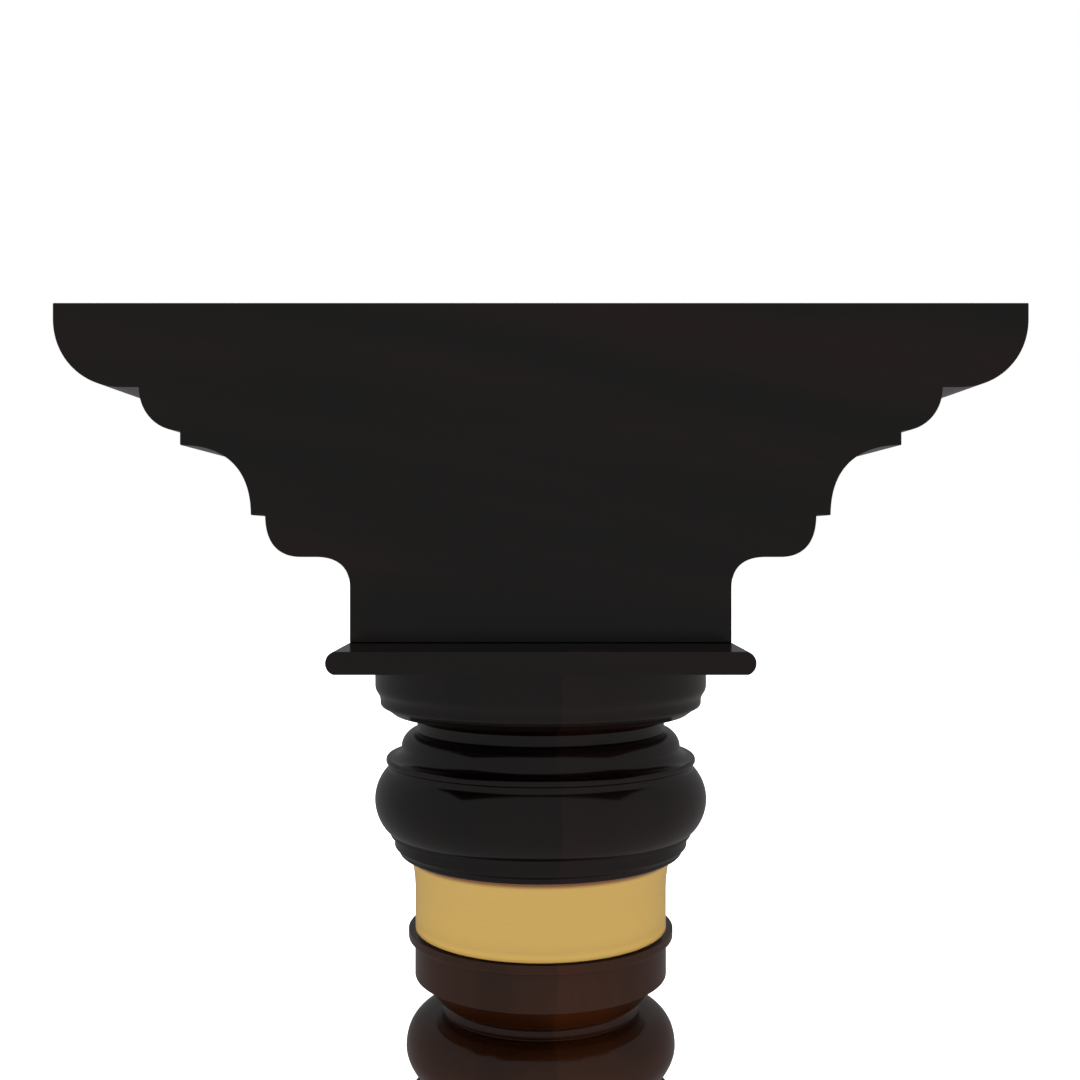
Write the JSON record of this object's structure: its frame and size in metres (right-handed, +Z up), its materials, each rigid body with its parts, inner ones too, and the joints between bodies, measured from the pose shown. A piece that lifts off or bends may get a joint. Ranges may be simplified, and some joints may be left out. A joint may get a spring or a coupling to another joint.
{
  "type": "bracket capital",
  "caption": "Carved wooden bracket capital: a T-shaped head with stepped, lobed ends on the turned, brass-banded head of a pillar.",
  "frame": {"origin": "centre of the round foot, on its underside", "axes": "+X along the bracket, +Y through its thickness, +Z up towards the beam"},
  "size_m": [0.6, 0.2438, 0.5269],
  "materials": {
    "ebonised_wood": "near-black hardwood, faint reddish figure, hand-rubbed satin polish",
    "brown_wood": "dark red-brown hardwood turned from two glued halves, satin polish",
    "brass": "satin brass, fine turning lines",
    "steel": "bright zinc-plated steel",
    "beech": "plain beech dowel"
  },
  "bodies": {
    "root": {"bracket_block": "ebonised_wood", "top_plug": "ebonised_wood", "abacus_plate": "ebonised_wood", "necking_disc": "ebonised_wood", "echinus_ring": "ebonised_wood", "cushion": "ebonised_wood", "lower_ring": "ebonised_wood", "drum_collar": "brown_wood", "bulb": "brown_wood", "foot_collar": "brown_wood", "brass_band": "brass", "abacus_screws": "steel", "tie_rod": "steel", "upper_nut": "steel", "upper_washer": "steel", "lower_nut": "steel", "lower_washer": "steel", "plate_dowels": "beech", "echinus_dowels": "beech", "collar_dowels": "beech", "foot_dowels": "beech"}
  },
  "joints": []
}
